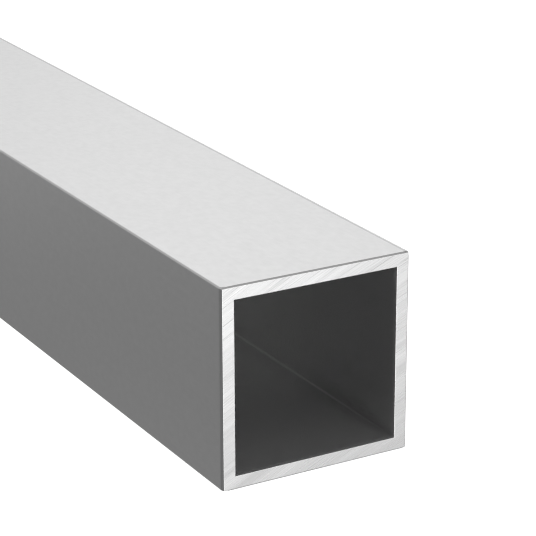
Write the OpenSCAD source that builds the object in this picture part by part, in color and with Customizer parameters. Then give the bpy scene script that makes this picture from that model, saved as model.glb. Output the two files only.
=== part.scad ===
// Square metal tube: one straight length of extruded stock, lying on a flat face.
// Frame: X across, Y along the tube, Z up. The origin is the centre of the underside.

/* [Section] */
// Outside width and height of the square section
side = 30; // [20:0.5:80]
// Wall thickness
wall = 2; // [1:0.1:6]
// Radius of the four outside corners
outside_r = 0.25; // [0.2:0.05:0.8]
// Radius of the four inside corners
inside_r = 0.1; // [0.05:0.05:1.5]

/* [Cut length] */
// Length between the two sawn ends
length = 300; // [50:10:1000]
// How far the broken outside edge of each sawn end reaches across the wall
break_across = 0.2; // [0.05:0.05:0.2]
// How far the same broken edge reaches along the tube
break_along = 0.3; // [0.1:0.05:1]
// Edge break round the mouth of the bore at each sawn end
mouth_break = 0.05; // [0.05:0.05:0.4]

/* [Hidden] */
// Segments of a full circle
$fn = 32;
// How far a cut runs past the face that it opens
overcut = 1;
// Width and height of the square bore
bore = side - 2 * wall;

// Square bar with round corners that stands on z = 0. Its corner centres stay a distance
// `core` from the middle of each side, and its corner radius goes from r_low at the foot
// to r_high at the top, so equal radii give a straight bar and unequal ones an even bevel.
module round_cornered_bar(core, r_low, r_high, height) {
    for (turn = [0, 90])
        rotate([0, 0, turn])
            slab_with_sloping_ends(core, r_low, r_high, height);
    for (x = [-core, core], y = [-core, core])
        translate([x, y, 0])
            cylinder(r1 = r_low, r2 = r_high, h = height);
}

// The flat stretch between two corners, carried right across the bar
module slab_with_sloping_ends(core, r_low, r_high, height) {
    foot = core + r_low;
    top = core + r_high;
    translate([0, core, 0])
        rotate([90, 0, 0])
            linear_extrude(height = 2 * core)
                polygon([[-foot, 0], [foot, 0], [top, height], [-top, height]]);
}

// The outside of the tube, with the edges of both sawn ends broken
module outside_form() {
    core = side / 2 - outside_r;
    broken_r = outside_r - break_across;
    middle = length - 2 * break_along;
    round_cornered_bar(core, broken_r, outside_r, break_along);
    translate([0, 0, break_along])
        round_cornered_bar(core, outside_r, outside_r, middle);
    translate([0, 0, break_along + middle])
        round_cornered_bar(core, outside_r, broken_r, break_along);
}

// The square bore, run past both ends, with its two mouths opened by their edge breaks
module bore_form() {
    core = bore / 2 - inside_r;
    flare = mouth_break + overcut;
    wide_r = inside_r + flare;
    translate([0, 0, -overcut])
        round_cornered_bar(core, inside_r, inside_r, length + 2 * overcut);
    translate([0, 0, -overcut])
        round_cornered_bar(core, wide_r, inside_r, flare);
    translate([0, 0, length - mouth_break])
        round_cornered_bar(core, inside_r, wide_r, flare);
}

// One piece of stock, laid along Y with its underside on z = 0
module square_tube() {
    color([0.78, 0.78, 0.79])
        translate([0, length / 2, side / 2])
            rotate([90, 0, 0])
                difference() {
                    outside_form();
                    bore_form();
                }
}

square_tube();
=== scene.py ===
# %% [markdown]
# # A length of square aluminium tube
# The real object is one extrusion: hot aluminium is pushed through a steel die, cooled, and sawn to
# length. It has three kinds of surface: the satin skin that the die leaves outside, the duller skin
# inside, and the bright ends that the saw leaves. The lesson models the tube as one closed surface
# worked out with arrays, and then gives each kind of surface its own procedural finish. All sizes are
# in metres, in the frame of the solid: Y along the tube, Z up, and the underside on Z = 0.

# %% Load the measured part
import math

import bpy
import numpy as np
from mathutils import Matrix, Vector


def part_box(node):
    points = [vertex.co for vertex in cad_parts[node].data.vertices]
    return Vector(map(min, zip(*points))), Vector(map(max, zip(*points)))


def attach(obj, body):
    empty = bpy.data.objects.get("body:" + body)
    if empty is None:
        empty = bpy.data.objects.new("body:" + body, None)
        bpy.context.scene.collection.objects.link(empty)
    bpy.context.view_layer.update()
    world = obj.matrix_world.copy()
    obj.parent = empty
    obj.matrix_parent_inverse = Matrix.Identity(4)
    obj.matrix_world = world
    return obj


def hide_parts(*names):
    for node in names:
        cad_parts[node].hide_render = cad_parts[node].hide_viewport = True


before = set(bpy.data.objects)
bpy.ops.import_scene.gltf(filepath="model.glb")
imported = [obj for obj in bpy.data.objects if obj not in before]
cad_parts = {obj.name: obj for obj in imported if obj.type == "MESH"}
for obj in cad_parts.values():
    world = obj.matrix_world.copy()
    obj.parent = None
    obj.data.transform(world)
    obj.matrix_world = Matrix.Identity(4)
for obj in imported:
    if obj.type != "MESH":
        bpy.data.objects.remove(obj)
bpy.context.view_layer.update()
tube_low, tube_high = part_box("square_tube")
MM = 0.001
side = tube_high.x - tube_low.x
length = tube_high.y - tube_low.y
print(f"tube {side / MM:.1f} mm square, {length / MM:.0f} mm long")

# %% [markdown]
# ## Camera
# The picture is taken with a long lens from about ten tube widths away, to the left of the sawn end
# and above it. A camera can be placed by hand, but here the picture's own facts are simpler: the
# direction it looks in, the distance along that direction, and the pixel where the middle of the
# sawn end lies.

# %% Place the camera
IMAGE_SIZE = 536
SENSOR = 36.0
LENS = 150.5
AZIMUTH = math.radians(-29.72)
ELEVATION = math.radians(19.82)
ROLL = math.radians(-0.16)
END_PIXEL = (316.74, 371.16)
DEPTH_IN_SIDES = 10.364
CLIP_START, CLIP_END = 0.01, 50.0
camera_depth = DEPTH_IN_SIDES * side

camera_data = bpy.data.cameras.new("long_lens")
camera_data.sensor_width = SENSOR
camera_data.lens = LENS
camera = bpy.data.objects.new("long_lens", camera_data)
bpy.context.scene.collection.objects.link(camera)
bpy.context.scene.camera = camera

forward = Vector((
    -math.sin(AZIMUTH) * math.cos(ELEVATION),
    math.cos(AZIMUTH) * math.cos(ELEVATION),
    -math.sin(ELEVATION),
))
turn = forward.to_track_quat("-Z", "Y").to_matrix() @ Matrix.Rotation(ROLL, 3, "Z")
metres_per_pixel = camera_depth * SENSOR / LENS / IMAGE_SIZE
right_by = (END_PIXEL[0] - IMAGE_SIZE / 2) * metres_per_pixel
down_by = (END_PIXEL[1] - IMAGE_SIZE / 2) * metres_per_pixel
sawn_end = Vector((0, tube_low.y, side / 2))
camera_place = sawn_end - forward * camera_depth - turn.col[0] * right_by + turn.col[1] * down_by
camera.matrix_world = Matrix.Translation(camera_place) @ turn.to_4x4()
camera_data.clip_start, camera_data.clip_end = CLIP_START, CLIP_END
print("camera at", [round(c, 4) for c in camera_place])

# %% [markdown]
# ## The cross-section
# Every ring round the tube is a square with round corners. Such a ring could be a curve with a bevel,
# or a cube with bevelled edges. An array does it more exactly: walk round a square of unit size,
# keep for each step the spot on the square and the direction that its corner arc points in, and any
# ring of any size and corner radius is `half * spot + radius * direction`.

# %% Walk round a square
SIDE_STEPS = 300
CORNER_STEPS = 6


def square_walk(side_steps, corner_steps):
    """Spots and directions once round a square with round corners.

    A side keeps its direction while its spot runs from one corner to the next. A corner keeps its
    spot while its direction turns by a quarter turn. The other three quarters of the walk are the
    first one turned by 90 degrees each.
    """
    run = np.linspace(-1, 1, side_steps + 1)
    angle = np.linspace(0, math.pi / 2, corner_steps + 1)[1:-1]
    spot = np.concatenate([
        np.stack([np.ones_like(run), run], axis=1),
        np.ones((len(angle), 2)),
    ])
    direction = np.concatenate([
        np.tile([1.0, 0.0], (len(run), 1)),
        np.stack([np.cos(angle), np.sin(angle)], axis=1),
    ])
    quarter = np.array([[0.0, 1.0], [-1.0, 0.0]])
    turns = [np.linalg.matrix_power(quarter, k) for k in range(4)]
    return (
        np.concatenate([spot @ m for m in turns]),
        np.concatenate([direction @ m for m in turns]),
    )


spot, direction = square_walk(SIDE_STEPS, CORNER_STEPS)
print(len(spot), "points round the tube")

# %% [markdown]
# ## The lengthwise section
# Cut the wall lengthwise and its outline is a long thin rectangle: the outer skin, an edge broken
# with a file, the sawn face, the tiny edge of the mouth, and the inner skin. The rings follow that
# outline. A file leaves neither a straight bevel nor a true round but something between the two,
# and the hand that held it pressed harder on the left and on top than on the other two sides. The
# sizes in small letters below are those of the solid.

# %% Sizes of the section
wall = 2.0 * MM
outside_r = 0.25 * MM
inside_r = 0.1 * MM
break_across = 0.2 * MM
mouth_break = 0.05 * MM
FILED_LEFT, FILED_RIGHT, FILED_TOP, FILED_BELOW = 0.65 * MM, 0.2 * MM, 0.36 * MM, 0.12 * MM
CORNER_FADE = 1 * MM
FILE_CURVE = 1.5
SHOULDER = 0.05 * MM
INSET = 2 * MM
FACE_MARGIN = 0.01
FINISH_COLUMN = 5
SKIN, SAWN, BORE = 0, 1, 2


def filed_along(spot):
    """How far along the tube the file has cut at each step round the rim.

    Each side has its own reach, and the largest one counts. A reach fades out smoothly over the
    last CORNER_FADE before a corner: it is multiplied by t^2 (3 - 2t), with t from 0 to 1.
    """
    near = 1 - CORNER_FADE / (side / 2)
    outward = np.stack([-spot[:, 0], spot[:, 0], spot[:, 1], -spot[:, 1]])
    share = np.clip((outward - near) / (1 - near), 0, 1)
    reach = np.array([[FILED_LEFT], [FILED_RIGHT], [FILED_TOP], [FILED_BELOW]])
    return (share**2 * (3 - 2 * share) * reach).max(axis=0)


def broken_edge(steps):
    """A quarter of the curve x^q + y^q = 1, from x = 1 to y = 1; q = 1 is straight and 2 is round."""
    angle = np.linspace(0, math.pi / 2, steps + 1)
    return np.cos(angle) ** (2 / FILE_CURVE), np.sin(angle) ** (2 / FILE_CURVE)


def band(count, finish, half, radius, depth, filed=0.0, relief=0.0):
    """Rings with one finish, as columns; each value is one number or one for each of the rings."""
    columns = (half, radius, depth, filed, relief, finish)
    return np.stack([np.broadcast_to(np.asarray(c, float), (count,)) for c in columns], axis=1)


def end_stations(edge_steps, face_steps, mouth_steps):
    """Rings from the middle of the outer skin, round one sawn end, to the middle of the bore.

    Their columns are half size of the corner square, corner radius, depth below the saw cut, share
    of the filing along the tube that a ring takes, its share of the saw's relief, and finish. An
    extra ring lies close to each edge, SHOULDER or FACE_MARGIN away, and another at INSET, so that
    the edge's smooth shading doesn't spread over the flat faces beside it.

    Known fault: the mouth takes the two shares of its curve in the wrong order. Its rings make a
    groove 0.03 mm deep beside a sharp edge, where the solid has a plain break of mouth_break.
    """
    outer_half = side / 2 - outside_r
    inner_half = side / 2 - wall - inside_r
    rim_r = outside_r - break_across
    mouth_r = inside_r + mouth_break
    edge_out, edge_down = broken_edge(edge_steps)
    mouth_down, mouth_out = broken_edge(mouth_steps)
    inner_steps = np.linspace(0, 1, face_steps - 2)[1:-1]
    face = np.concatenate([[0, FACE_MARGIN], inner_steps, [1 - FACE_MARGIN, 1]])
    return np.concatenate([
        band(3, SKIN, outer_half, outside_r, [length / 2, INSET, SHOULDER], [0, 0, 1], [0, 0, 1]),
        band(edge_steps, SKIN, outer_half, outside_r - break_across * (1 - edge_out[:-1]), 0,
             1 - edge_down[:-1], 1),
        band(face_steps, SAWN, outer_half + (inner_half - outer_half) * face,
             rim_r + (mouth_r - rim_r) * face, 0, 0, 1),
        band(mouth_steps, BORE, inner_half, mouth_r - mouth_break * (1 - mouth_down[1:]),
             mouth_break * (1 - mouth_out[1:]), 0, 1),
        band(3, BORE, inner_half, inside_r, [mouth_break + SHOULDER, INSET, length / 2],
             0, [1, 0, 0]),
    ])


along = filed_along(spot)
stations = end_stations(edge_steps=6, face_steps=25, mouth_steps=3)
print(len(stations), f"rings round each sawn end, edge filed up to {along.max() / MM:.2f} mm")

# %% [markdown]
# ## Saw marks
# The blade of an extrusion saw is about 600 mm across and comes up through the tube. Each tooth
# leaves a shallow arc of the blade's rim, and the next tooth leaves the same arc a little higher. So
# the height of the face depends on one number, how far the blade had risen when its rim passed a
# point: `z` less the height of the rim above that `x`. Marks drawn as a texture would do at a
# distance, but real grooves of a few thousandths of a millimetre catch the light from every side.
# Three things make them: the teeth, the blade's quick shiver and its slow sway.

# %% Saw relief
BLADE_R = 300 * MM
BLADE_SIDE = 0.43
TOOTH_PITCH = 0.42 * MM
TOOTH_JITTER, JITTER_STEP = 0.35, 1.1 * MM
GROOVE_DEPTH = 0.003 * MM
GROUP_BASE, GROUP_SWING, GROUP_STEP = 0.3, 0.7, 1.6 * MM
ARC_BASE, ARC_SWING, ARC_STEP, ARC_SLANT = 0.6, 0.4, 3.1 * MM, 0.4
SHIVER_DEPTH, SHIVER_STEP = 0.004 * MM, 0.8 * MM
SWAY_DEPTH, SWAY_STEP = 0.009 * MM, 2.3 * MM
BITE_MIDDLE, BITE_GAIN = 0.8, 0.2


def wander(values, step, rng):
    """A smooth random curve over values: seeded heights every step, joined by cosine ramps."""
    place = (values - values.min()) / step
    knots = rng.uniform(-1, 1, int(place.max()) + 3)
    low = np.floor(place).astype(int)
    blend = 0.5 - 0.5 * np.cos(math.pi * (place - low))
    return knots[low] * (1 - blend) + knots[low + 1] * blend


def saw_relief(x, z, seed):
    """Depth of the saw's grooves at points of a sawn face, in metres, zero at the highest.

    The rim is part of a circle round the blade's middle, which lies BLADE_SIDE of a radius to the
    right. The blade's rise when its rim passed a point gives the phase. Each tooth leaves a narrow
    groove, the cube of a wave, in groups that fade in and out along the rise and along the arc. The
    shiver and the sway are smooth random curves over the rise. The grooves and the shiver bite
    deeper towards the top.
    """
    rng = np.random.default_rng(seed)
    centre = BLADE_SIDE * BLADE_R
    rim = np.sqrt(BLADE_R**2 - (x - centre) ** 2)
    rise = z - rim + rim.max()
    phase = rise / TOOTH_PITCH + TOOTH_JITTER * wander(rise, JITTER_STEP, rng)
    tooth = (0.5 - 0.5 * np.cos(2 * math.pi * phase)) ** 3
    in_group = np.maximum(0, GROUP_BASE + GROUP_SWING * wander(rise, GROUP_STEP, rng))
    in_arc = ARC_BASE + ARC_SWING * wander(x + ARC_SLANT * rise, ARC_STEP, rng)
    grooves = GROOVE_DEPTH * tooth * in_group * in_arc
    shiver = SHIVER_DEPTH * wander(rise, SHIVER_STEP, rng)
    sway = SWAY_DEPTH * wander(rise, SWAY_STEP, rng)
    bite = BITE_MIDDLE + BITE_GAIN * z / (side / 2)
    depth_map = bite * (grooves + shiver) + sway
    return depth_map - depth_map.min()


print(f"a tooth leaves a groove every {TOOTH_PITCH / MM:.2f} mm, up to {GROOVE_DEPTH / MM:.3f} mm deep")

# %% [markdown]
# ## One closed surface
# The rings of both ends join into a surface like a ring doughnut: once round the tube one way, once
# round the wall the other way. Its points are one array of rings by steps, and each face joins four
# neighbours in that array. They have to be joined in the order that makes the face point outwards, or
# a viewer that hides the backs of faces shows the tube inside out. The sign of the volume tells.

# %% Points of both ends
FRONT_SEED, BACK_SEED = 4248, 9


def end_points(seed):
    """Points of the rings of one end as (ring, step, xyz), with y as the depth below its cut."""
    half, radius, depth, filed, relief = stations.T[:FINISH_COLUMN, :, None]
    xz = half[..., None] * spot + radius[..., None] * direction
    y = depth + filed * along + relief * saw_relief(xz[..., 0], xz[..., 1], seed)
    return np.stack([xz[..., 0], y, xz[..., 1] + side / 2], axis=2)


front = end_points(FRONT_SEED)
back = end_points(BACK_SEED)[::-1]
front[..., 1] = tube_low.y + front[..., 1]
back[..., 1] = tube_high.y - back[..., 1]
points = np.concatenate([front[:-1], back[:-1]])
finish = stations[:-1, FINISH_COLUMN].astype(int)
band_finish = np.concatenate([finish, finish[::-1]])
on_cut = stations[:, FINISH_COLUMN] == SAWN
print(f"saw marks up to {np.ptp(front[on_cut][..., 1]) / MM:.3f} mm deep at the front")

# %% Join them into a mesh
ring_count, step_count = points.shape[:2]
index = np.arange(ring_count * step_count).reshape(ring_count, step_count)
next_ring = np.roll(index, -1, axis=0)
quads = np.stack([
    index, np.roll(index, -1, axis=1), np.roll(next_ring, -1, axis=1), next_ring,
], axis=2).reshape(-1, 4)

mesh = bpy.data.meshes.new("aluminium_tube")
mesh.vertices.add(ring_count * step_count)
mesh.vertices.foreach_set("co", points.astype(np.float32).ravel())
mesh.loops.add(quads.size)
mesh.loops.foreach_set("vertex_index", quads.astype(np.int32).ravel())
mesh.polygons.add(len(quads))
mesh.polygons.foreach_set("loop_start", np.arange(0, quads.size, 4, dtype=np.int32))
mesh.polygons.foreach_set("material_index", np.repeat(band_finish, step_count).astype(np.int32))
mesh.update(calc_edges=True)
mesh.validate()
mesh.shade_smooth()
tube = bpy.data.objects.new("aluminium_tube", mesh)
bpy.context.scene.collection.objects.link(tube)
print(len(quads) * 2, "triangles")

# %% Measure the volume
corners = points.reshape(-1, 3)[quads]
volume = np.einsum("ij,ij->i", corners[:, 0], np.cross(corners[:, 1], corners[:, 2])).sum() / 6
volume += np.einsum("ij,ij->i", corners[:, 0], np.cross(corners[:, 2], corners[:, 3])).sum() / 6
print(f"volume {volume / MM**3:.0f} cubic mm, positive when faces point outwards")

# %% [markdown]
# ## A flat map
# The finishes below follow places in space, so a render needs no map. A viewer that reads the stored
# model does: there the finishes are painted on a picture that is wrapped round the tube. The rings and
# steps already are such a map, once round the tube across and once round the wall upwards. It only
# has to give the narrow sawn faces enough room, because the saw marks are the finest thing on it.

# %% Unroll the surface
MAP_NAME = "OFBake"


def unrolled(points):
    """A place on a flat square for each ring and step, with the last of each joined to the first.

    The place across counts the steps. The place upwards grows by the square root of the width of
    each strip between two rings, measured in the middle of a side.
    """
    strip = np.linalg.norm(np.roll(points, -1, axis=0) - points, axis=2)[:, SIDE_STEPS // 2]
    upwards = np.concatenate([[0], np.cumsum(np.sqrt(strip))])
    across = np.arange(points.shape[1] + 1) / points.shape[1]
    return np.stack(np.meshgrid(across, upwards / upwards[-1]), axis=2)


flat = unrolled(points)
places = np.stack([flat[:-1, :-1], flat[:-1, 1:], flat[1:, 1:], flat[1:, :-1]], axis=2)
mesh.uv_layers.new(name=MAP_NAME).data.foreach_set("uv", places.astype(np.float32).ravel())
sawn_share = np.diff(flat[:, 0, 1])[band_finish == SAWN].sum()
print(f"the sawn faces fill {sawn_share:.0%} of the map")

# %% [markdown]
# ## Nodes, in short
# A finish is a handful of nodes. One helper adds a node, sets it up and joins its inputs, so that
# each finish below reads like a recipe.


# %% Node helper
def put(tree, kind, inputs=None, **settings):
    """Adds a node; inputs maps a socket's name or number to a value or another node's output."""
    node = tree.nodes.new(kind)
    for name, value in settings.items():
        setattr(node, name, value)
    for socket, value in (inputs or {}).items():
        if isinstance(value, bpy.types.NodeSocket):
            tree.links.new(value, node.inputs[socket])
        else:
            node.inputs[socket].default_value = value
    return node


def calc(tree, operation, a, b=0.0):
    """One step of arithmetic on two values or outputs."""
    return put(tree, "ShaderNodeMath", {0: a, 1: b}, operation=operation).outputs[0]


def between(tree, value, low, high, start=0.0, end=1.0, ease="LINEAR"):
    """Carries a value that runs from start to end over to the range from low to high."""
    ramp = put(tree, "ShaderNodeMapRange", {
        "Value": value, "From Min": start, "From Max": end, "To Min": low, "To Max": high,
    }, interpolation_type=ease)
    return ramp.outputs["Result"]


def new_finish(name):
    """An empty material, and its tree."""
    material = bpy.data.materials.new(name)
    material.use_nodes = True
    material.node_tree.nodes.clear()
    return material, material.node_tree


# %% [markdown]
# ## Effects
# A pattern that is used more than once, or that takes more than a few steps to work out, is a node
# group with named inputs and outputs, and each use gives it its own values. All groups read Object
# coordinates, so that a pattern keeps its size in millimetres on every side.


# %% Effect helper
def new_effect(name, inputs, outputs):
    """A node group: inputs maps a socket's name to its first value, outputs lists names."""
    tree = bpy.data.node_groups.new(name, "ShaderNodeTree")
    for socket_name, value in inputs.items():
        socket = tree.interface.new_socket(socket_name, in_out="INPUT", socket_type="NodeSocketFloat")
        socket.default_value = value
    for socket_name in outputs:
        tree.interface.new_socket(socket_name, in_out="OUTPUT", socket_type="NodeSocketFloat")
    return tree, tree.nodes.new("NodeGroupInput").outputs, tree.nodes.new("NodeGroupOutput").inputs


def use_effect(tree, effect, values):
    """Places an effect in a finish with its own values and gives its outputs."""
    return put(tree, "ShaderNodeGroup", values, node_tree=effect).outputs


def pattern(tree, effect, wide, long, **more):
    """Places a noise effect whose cells are this wide and this long, and gives its value."""
    return use_effect(tree, effect, {"Width": wide, "Length": long, **more})["Value"]


def object_axes(tree):
    """The X, Y and Z outputs of a place in the object's own coordinates."""
    place = put(tree, "ShaderNodeTexCoord").outputs["Object"]
    return put(tree, "ShaderNodeSeparateXYZ", {0: place}).outputs


# %% [markdown]
# ## Drawn noise
# The die pulls every small unevenness of the metal out along the tube, outside and in the bore. A
# scaled Mapping node would do for one finish. This group divides the place by the width and the length
# of a cell, so each use can ask for its own. Plain noise keeps near its middle, and NOISE_SPREAD is
# the range that is carried over to 0 to 1.

# %% Drawn noise
NOISE_SPREAD = (0.25, 0.75)

drawn_noise, given, result = new_effect(
    "drawn_noise", {"Width": 1 * MM, "Length": 1 * MM, "Detail": 2.0}, ["Value"])
place = put(drawn_noise, "ShaderNodeTexCoord").outputs["Object"]
grain = put(drawn_noise, "ShaderNodeCombineXYZ",
            {"X": given["Width"], "Y": given["Length"], "Z": given["Width"]})
cells = put(drawn_noise, "ShaderNodeVectorMath", {0: place, 1: grain.outputs[0]},
            operation="DIVIDE")
cloud = put(drawn_noise, "ShaderNodeTexNoise",
            {"Vector": cells.outputs[0], "Scale": 1.0, "Detail": given["Detail"]})
spread = between(drawn_noise, cloud.outputs["Fac"], 0.0, 1.0, *NOISE_SPREAD)
drawn_noise.links.new(spread, result["Value"])
print("drawn_noise:", len(drawn_noise.nodes), "nodes")

# %% [markdown]
# ## Saw streaks
# Finer marks than the mesh can hold are noise too, read by the blade's rise and by the place across the
# tube. The rise is worked out as for the relief: the height less the rim's height, which is the root of
# the squared radius less the squared distance from the blade's middle. So streaks and grooves agree.

# %% Saw streaks
saw_streaks, given, result = new_effect(
    "saw_streaks", {"Width": 0.1 * MM, "Length": 6 * MM, "Detail": 1.0}, ["Value"])
axes = object_axes(saw_streaks)
from_centre = calc(saw_streaks, "SUBTRACT", axes["X"], BLADE_SIDE * BLADE_R)
squared = calc(saw_streaks, "SUBTRACT", BLADE_R**2, calc(saw_streaks, "POWER", from_centre, 2.0))
rise = calc(saw_streaks, "SUBTRACT", axes["Z"], calc(saw_streaks, "SQRT", squared))
cells = put(saw_streaks, "ShaderNodeCombineXYZ", {
    "X": calc(saw_streaks, "DIVIDE", rise, given["Width"]),
    "Y": calc(saw_streaks, "DIVIDE", axes["X"], given["Length"]),
})
cloud = put(saw_streaks, "ShaderNodeTexNoise",
            {"Vector": cells.outputs[0], "Scale": 1.0, "Detail": given["Detail"]})
spread = between(saw_streaks, cloud.outputs["Fac"], 0.0, 1.0, *NOISE_SPREAD)
saw_streaks.links.new(spread, result["Value"])
print("saw_streaks:", len(saw_streaks.nodes), "nodes")

# %% [markdown]
# ## Edge rub
# Handling rubs the outer edges first. Edges could be found with a Bevel node, which is slow, or with
# Pointiness, which needs an even mesh. On a box, sums are enough: a point has three gaps to the faces,
# and near an edge two of them are small, so the second smallest gap tells how near the edge is.

# %% Edge rub
edge_rub, given, result = new_effect("edge_rub", {"Width": 0.5 * MM}, ["Mask"])
axes = object_axes(edge_rub)
height = calc(edge_rub, "SUBTRACT", axes["Z"], side / 2)
gap_x = calc(edge_rub, "SUBTRACT", side / 2, calc(edge_rub, "ABSOLUTE", axes["X"]))
gap_z = calc(edge_rub, "SUBTRACT", side / 2, calc(edge_rub, "ABSOLUTE", height))
gap_y = calc(edge_rub, "SUBTRACT", length / 2, calc(edge_rub, "ABSOLUTE", axes["Y"]))
nearer = calc(edge_rub, "MINIMUM", gap_x, gap_z)
farther = calc(edge_rub, "MAXIMUM", gap_x, gap_z)
second = calc(edge_rub, "MAXIMUM", nearer, calc(edge_rub, "MINIMUM", farther, gap_y))
share = calc(edge_rub, "DIVIDE", second, given["Width"])
edge_rub.links.new(between(edge_rub, share, 1.0, 0.0), result["Mask"])
print("edge_rub:", len(edge_rub.nodes), "nodes")


# %% [markdown]
# ## Three finishes
# All three are aluminium, so each is a Principled shader whose base colour is the reflectance of the
# metal. What sets them apart is how rough they are, what the marks on them follow, and in the bore a
# little oxide and dust, which lower its metallic value. Every mark changes the grey or the roughness
# by a few hundredths up to a fifth, and the height by less than a thousandth of a millimetre.


# %% Metal finish helper
def metal(tree, grey, roughness, height, depth_of_marks, bare=1.0):
    """Finishes a metal from outputs for its grey, roughness and height of marks.

    depth_of_marks is the height in metres of a mark of 1, and bare is the share of bare metal.
    """
    marks = put(tree, "ShaderNodeBump",
                {"Strength": 1.0, "Distance": depth_of_marks, "Height": height})
    surface = put(tree, "ShaderNodeBsdfPrincipled", {
        "Base Color": grey, "Metallic": bare, "Roughness": roughness, "Normal": marks.outputs[0],
    })
    put(tree, "ShaderNodeOutputMaterial", {"Surface": surface.outputs[0]})


# %% [markdown]
# ## Satin skin
# The die draws fine lines along the tube, and its skin has a faint grain that a brushed texture would
# miss, so long thin noise and short clouds are added. Rougher spots are the darker ones. Handling
# rubs the edges a little lighter and smoother. Along the top right edge runs a thin darker line on
# the top face. It is a band of distances from that edge, with soft sides.

# %% Satin skin
SKIN_GREY = (0.847, 0.907)
SKIN_ROUGHNESS = (0.37, 0.35)
LINE_SHARE, GRAIN_SHARE = 0.4, 0.6
DIE_LINE_DEPTH = 0.0003 * MM
RUB_WIDTH = 0.5 * MM
RUB_LIGHTER, RUB_SMOOTHER = 0.02, 0.03
# A thin darker line on the top face, 0.28 to 0.68 mm inside the right edge.
EDGE_LINE_STARTS = (0.28 * MM, 0.38 * MM)
EDGE_LINE_ENDS = (0.6 * MM, 0.68 * MM)
EDGE_LINE_DARKER = 0.18
TOP_SLACK = 0.1 * MM

die_skin, tree = new_finish("die_skin")
lines = pattern(tree, drawn_noise, wide=0.12 * MM, long=40 * MM)
clouds = pattern(tree, drawn_noise, wide=0.9 * MM, long=1.3 * MM)
marks = calc(tree, "ADD", between(tree, lines, 0.0, LINE_SHARE),
             between(tree, clouds, 0.0, GRAIN_SHARE))
rub = use_effect(tree, edge_rub, {"Width": RUB_WIDTH})["Mask"]
grey = calc(tree, "ADD", between(tree, marks, *SKIN_GREY), between(tree, rub, 0.0, RUB_LIGHTER))
axes = object_axes(tree)
# The darker line on the top face beside the right edge.
from_edge = calc(tree, "SUBTRACT", side / 2, axes["X"])
edge_line = calc(tree, "MULTIPLY", between(tree, from_edge, 0.0, 1.0, *EDGE_LINE_STARTS),
               between(tree, from_edge, 1.0, 0.0, *EDGE_LINE_ENDS))
on_top = calc(tree, "GREATER_THAN", axes["Z"], side - TOP_SLACK)
edge_line = calc(tree, "MULTIPLY", edge_line, on_top)
grey = calc(tree, "SUBTRACT", grey, between(tree, edge_line, 0.0, EDGE_LINE_DARKER))
roughness = calc(tree, "SUBTRACT", between(tree, clouds, *SKIN_ROUGHNESS),
                 between(tree, rub, 0.0, RUB_SMOOTHER))
metal(tree, grey, roughness, lines, DIE_LINE_DEPTH)
mesh.materials.append(die_skin)
print("die_skin:", len(tree.nodes), "nodes")

# %% [markdown]
# ## Sawn face
# The saw leaves clean metal, brighter than the skin. Its arcs are drawn three times: fine scratches,
# broad bands that differ in grey and polish, and single score lines that come in groups. A brushed
# texture with straight lines would be simpler, but the arcs have to agree with the grooves in the
# mesh. The blade scores deeper near the top, as the relief does.

# %% Sawn face
FINE_GREY = (0.91, 0.925)
BAND_LIGHTER, BAND_ROUGHNESS = 0.05, (0.30, 0.24)
SCORE_EDGE = 0.36
GROUP_EDGES, BETWEEN_GROUPS = (0.4, 0.7), 0.2
SCORE_AT_FOOT, SCORE_AT_TOP = 0.15, 1.3
SCORE_DARKER = 0.2
SCORE_DEPTH = 0.0008 * MM

sawn_face, tree = new_finish("sawn_face")
fine = pattern(tree, saw_streaks, wide=0.11 * MM, long=5 * MM)
broad = pattern(tree, saw_streaks, wide=0.6 * MM, long=12 * MM)
groups = pattern(tree, saw_streaks, wide=1.6 * MM, long=15 * MM)
lines = pattern(tree, saw_streaks, wide=0.25 * MM, long=11 * MM, Detail=0.0)
scored = calc(tree, "MULTIPLY", between(tree, lines, 1.0, 0.0, 0.0, SCORE_EDGE),
              between(tree, groups, BETWEEN_GROUPS, 1.0, *GROUP_EDGES))
by_height = between(tree, object_axes(tree)["Z"], SCORE_AT_FOOT, SCORE_AT_TOP, 0.0, side)
scored = calc(tree, "MULTIPLY", scored, by_height)
tone = calc(tree, "ADD", between(tree, fine, *FINE_GREY), between(tree, broad, 0.0, BAND_LIGHTER))
grey = calc(tree, "SUBTRACT", tone, between(tree, scored, 0.0, SCORE_DARKER))
roughness = between(tree, broad, *BAND_ROUGHNESS)
metal(tree, grey, roughness, between(tree, scored, 1.0, 0.0), SCORE_DEPTH)
mesh.materials.append(sawn_face)
print("sawn_face:", len(tree.nodes), "nodes")

# %% [markdown]
# ## Bore
# What the bore shows depends on where one looks. Its grey is painted darker near the mouths, most of
# all in its corners, which is painted shade; a little sawdust lies on its floor there, the saw has
# rubbed its rim, and further in each corner carries a thin painted highlight. A mask in an image could
# hold all this, but a few sums on the coordinates hold it at any size. Depth is half the length less
# the distance from the middle. Gap, to the nearest corner, is half the bore's width less the smaller
# of a point's two offsets from the bore's axis. A point is on the floor where it is further below the
# axis than beside it.

# %% Places in the bore
bore_place, given, result = new_effect(
    "bore_place", {"Half Width": 13 * MM}, ["Depth", "Gap", "Floor"])
axes = object_axes(bore_place)
across = calc(bore_place, "ABSOLUTE", axes["X"])
height = calc(bore_place, "SUBTRACT", axes["Z"], side / 2)
smaller = calc(bore_place, "MINIMUM", across, calc(bore_place, "ABSOLUTE", height))
from_middle = calc(bore_place, "ABSOLUTE", axes["Y"])
below = calc(bore_place, "MULTIPLY", height, -1.0)
bore_place.links.new(calc(bore_place, "SUBTRACT", length / 2, from_middle), result["Depth"])
bore_place.links.new(calc(bore_place, "SUBTRACT", given["Half Width"], smaller), result["Gap"])
bore_place.links.new(calc(bore_place, "GREATER_THAN", below, across), result["Floor"])
print("bore_place:", len(bore_place.nodes), "nodes")
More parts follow.
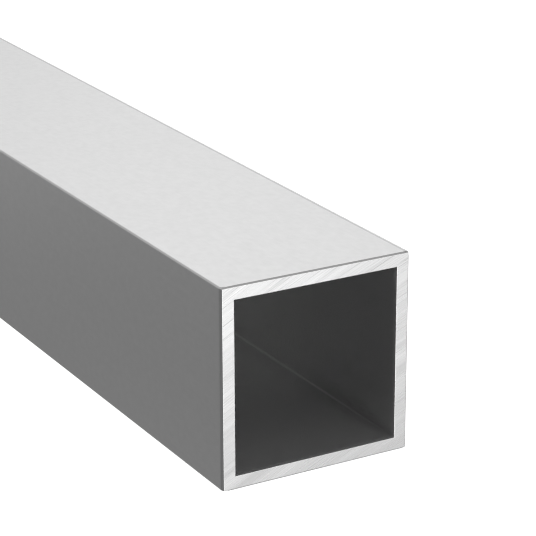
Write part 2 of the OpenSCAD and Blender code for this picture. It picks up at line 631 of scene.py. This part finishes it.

# %% Bore skin: painted shade near the mouths and in the corners
# Painted shade: greys for the bore near its mouths and further in, and for its corners.
SHADE_GREY = (0.715, 0.908)
SHADE_DEPTHS = (8 * MM, 42 * MM)
CORNER_SHADE_REACH = (0.9 * MM, 3.2 * MM)
REACH_DEPTHS = (0.0, 9 * MM)
CORNER_SHADE_AT_RIM, RIM_DEPTHS = 0.5, (0.0, 4 * MM)
CORNER_SHADE_INSIDE, INSIDE_DEPTHS = 0.3, (8 * MM, 30 * MM)
CORNER_SHADE_GREY = 0.86

bore_skin, tree = new_finish("bore_skin")
spot_in_bore = use_effect(tree, bore_place, {"Half Width": side / 2 - wall})
depth, gap, on_floor = (spot_in_bore[name] for name in ("Depth", "Gap", "Floor"))
# Painted shade: the grey is darker near the mouths and lightens from 8 to 42 mm into the bore.
shaded_grey = between(tree, depth, *SHADE_GREY, *SHADE_DEPTHS, ease="SMOOTHSTEP")
# Painted shade in the corners: a band beside each corner, narrow at the rim and wider further in.
reach = between(tree, depth, *CORNER_SHADE_REACH, *REACH_DEPTHS)
corner = between(tree, calc(tree, "DIVIDE", gap, reach), 1.0, 0.0)
corner = calc(tree, "MULTIPLY", corner, between(tree, depth, CORNER_SHADE_AT_RIM, 1.0, *RIM_DEPTHS))
fading = between(tree, depth, 1.0, CORNER_SHADE_INSIDE, *INSIDE_DEPTHS, ease="SMOOTHSTEP")
corner = calc(tree, "MULTIPLY", corner, fading)
# The painted corner shade takes up to a seventh off the grey.
shaded_grey = calc(tree, "MULTIPLY", shaded_grey, between(tree, corner, 1.0, CORNER_SHADE_GREY))
# Prints how far in the painted shade reaches and how wide the painted corner shade is.
print(f"dull up to {SHADE_DEPTHS[1] / MM:.0f} mm in, corners up to {CORNER_SHADE_REACH[1] / MM:.1f} mm wide")

# %% Bore skin: painted corner highlight, grain, dust and rim
# Painted highlight: a thin lighter line along each corner of the bore, starting 8 mm in.
CORNER_HIGHLIGHT_EDGES = (0.2 * MM, 0.32 * MM)
CORNER_HIGHLIGHT_DEPTHS = (8 * MM, 24 * MM)
CORNER_HIGHLIGHT_LIGHTER = 0.09
GRAIN_GREY = (-0.01, 0.01)
BARE_CLEAN, BARE_DUSTY = 0.93, 0.82
DUST_DEPTHS = (3 * MM, 20 * MM)
RIM_RUB, RIM_WIDTH = 0.2, 1.2 * MM
BORE_ROUGHNESS = (0.19, 0.22)

lines = pattern(tree, drawn_noise, wide=0.35 * MM, long=60 * MM)
clouds = pattern(tree, drawn_noise, wide=1.4 * MM, long=2.2 * MM)
grain = calc(tree, "ADD", between(tree, lines, *GRAIN_GREY), between(tree, clouds, *GRAIN_GREY))
# Painted highlight along the corners, 0.2 to 0.32 mm wide, full from 24 mm in.
corner_highlight = calc(tree, "MULTIPLY", between(tree, gap, 1.0, 0.0, *CORNER_HIGHLIGHT_EDGES),
            between(tree, depth, 0.0, 1.0, *CORNER_HIGHLIGHT_DEPTHS))
grey = calc(tree, "ADD", calc(tree, "ADD", shaded_grey, grain), between(tree, corner_highlight, 0.0, CORNER_HIGHLIGHT_LIGHTER))
near_mouth = between(tree, depth, 1.0, 0.0, *DUST_DEPTHS, ease="SMOOTHSTEP")
dust = calc(tree, "MULTIPLY", on_floor, near_mouth)
rubbed = between(tree, depth, RIM_RUB, 0.0, 0.0, RIM_WIDTH)
bare = calc(tree, "SUBTRACT", between(tree, dust, BARE_CLEAN, BARE_DUSTY), rubbed)
metal(tree, grey, between(tree, clouds, *BORE_ROUGHNESS), lines, DIE_LINE_DEPTH, bare)
mesh.materials.append(bore_skin)
print("bore_skin:", len(tree.nodes), "nodes")

# %% [markdown]
# ## Studio floor
# The tube lies on plain pale paper, so bright that it shows no shadow. A plane with a shadow would
# tell more about the floor than about the tube. This one glows a little, and only the camera sees it.

# %% Floor
FLOOR_HALF = 6.0
BELOW_TUBE = 0.02 * MM
PAPER, PAPER_GLOW = 0.8, 0.8
WHITE = (1, 1, 1, 1)

floor_mesh = bpy.data.meshes.new("pale_floor")
floor_mesh.from_pydata(
    [(-FLOOR_HALF, -FLOOR_HALF, 0), (FLOOR_HALF, -FLOOR_HALF, 0),
     (FLOOR_HALF, FLOOR_HALF, 0), (-FLOOR_HALF, FLOOR_HALF, 0)],
    [], [(0, 1, 2, 3)],
)
floor = bpy.data.objects.new("pale_floor", floor_mesh)
floor.location.z = tube_low.z - BELOW_TUBE
bpy.context.scene.collection.objects.link(floor)
floor.visible_glossy = floor.visible_diffuse = floor.visible_shadow = False
floor_finish, tree = new_finish("pale_paper")
matt = put(tree, "ShaderNodeBsdfDiffuse", {"Color": (PAPER, PAPER, PAPER, 1)})
glow = put(tree, "ShaderNodeEmission", {"Color": WHITE, "Strength": PAPER_GLOW})
both = put(tree, "ShaderNodeAddShader", {0: matt.outputs[0], 1: glow.outputs[0]})
put(tree, "ShaderNodeOutputMaterial", {"Surface": both.outputs[0]})
floor_finish.cycles.emission_sampling = "NONE"
floor_mesh.materials.append(floor_finish)
print(f"a floor {2 * FLOOR_HALF:.0f} m wide")

# %% [markdown]
# ## Tent
# A metal shows only what it reflects. Lamps would leave sharp spots, so the light comes from all round,
# as in a soft white tent, and large soft patches make it brighter or darker by direction. Each face
# takes its tone from the patch that it mirrors: the top mirrors the bright one behind on the right,
# the left side the dark ones behind on the left, and the sawn face the brightest one, in front. A patch
# has five numbers: azimuth, elevation, the angles from its middle where it starts to fade and where it
# ends, all in degrees, and the strength that it adds or takes away.

# %% Tent
EVEN_LIGHT, LEAST_LIGHT = 0.44, 0.02
PATCHES = {
    "behind on the right": (30, 22, 5, 20, 0.76),
    "in front": (179, -8, 20, 39, 1.28),
    "low in front": (158, -35, 10, 16, -0.60),
    "on the left": (-80, -19, 36, 44, -0.30),
    "low behind on the left": (-19, -38, 17, 28, -0.34),
    "low behind on the right": (32, -5, 14, 24, -0.50),
    "high on the right": (68, 52, 23, 43, -0.11),
    "underneath": (0, -55, 30, 36, 0.35),
}


def direction_of(azimuth, elevation):
    """Unit vector, with azimuth in degrees from +Y towards +X and elevation above the floor."""
    a, e = math.radians(azimuth), math.radians(elevation)
    return math.sin(a) * math.cos(e), math.cos(a) * math.cos(e), math.sin(e)


world = bpy.data.worlds.new("studio_tent")
bpy.context.scene.world = world
world.use_nodes = True
tree = world.node_tree
tree.nodes.clear()
towards = put(tree, "ShaderNodeTexCoord").outputs["Generated"]
light = put(tree, "ShaderNodeValue").outputs[0]
light.default_value = EVEN_LIGHT
for name, (azimuth, elevation, inner, outer, strength) in PATCHES.items():
    lean = put(tree, "ShaderNodeVectorMath", {0: towards, 1: direction_of(azimuth, elevation)},
               operation="DOT_PRODUCT")
    patch = put(tree, "ShaderNodeMapRange", {
        "Value": lean.outputs["Value"],
        "From Min": math.cos(math.radians(outer)), "From Max": math.cos(math.radians(inner)),
        "To Min": 0.0, "To Max": strength,
    }, interpolation_type="SMOOTHSTEP", label=name)
    light = calc(tree, "ADD", light, patch.outputs["Result"])
light = calc(tree, "MAXIMUM", light, LEAST_LIGHT)
tent = put(tree, "ShaderNodeBackground", {"Color": WHITE, "Strength": light})
plain = put(tree, "ShaderNodeBackground", {"Color": WHITE, "Strength": 1.0})
ray = put(tree, "ShaderNodeLightPath")
seen = put(tree, "ShaderNodeMixShader",
           {0: ray.outputs["Is Camera Ray"], 1: tent.outputs[0], 2: plain.outputs[0]})
put(tree, "ShaderNodeOutputWorld", {"Surface": seen.outputs[0]})
print(len(PATCHES), "patches of light")

# %% [markdown]
# ## Picture settings
# Light that goes down the bore meets its walls many times, so it needs many bounces. The Standard view
# keeps the greys as the finishes give them, and a narrow pixel filter keeps thin edges sharp.

# %% Picture settings
BOUNCES, PIXEL_FILTER = 32, 1.0
scene = bpy.context.scene
scene.view_settings.view_transform = "Standard"
scene.cycles.max_bounces = BOUNCES
scene.cycles.glossy_bounces = BOUNCES
scene.cycles.diffuse_bounces = BOUNCES
scene.cycles.filter_width = PIXEL_FILTER
print(BOUNCES, "bounces of light at most")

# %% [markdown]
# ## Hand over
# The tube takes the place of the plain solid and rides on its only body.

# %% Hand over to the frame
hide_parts("square_tube")
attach(tube, "root")
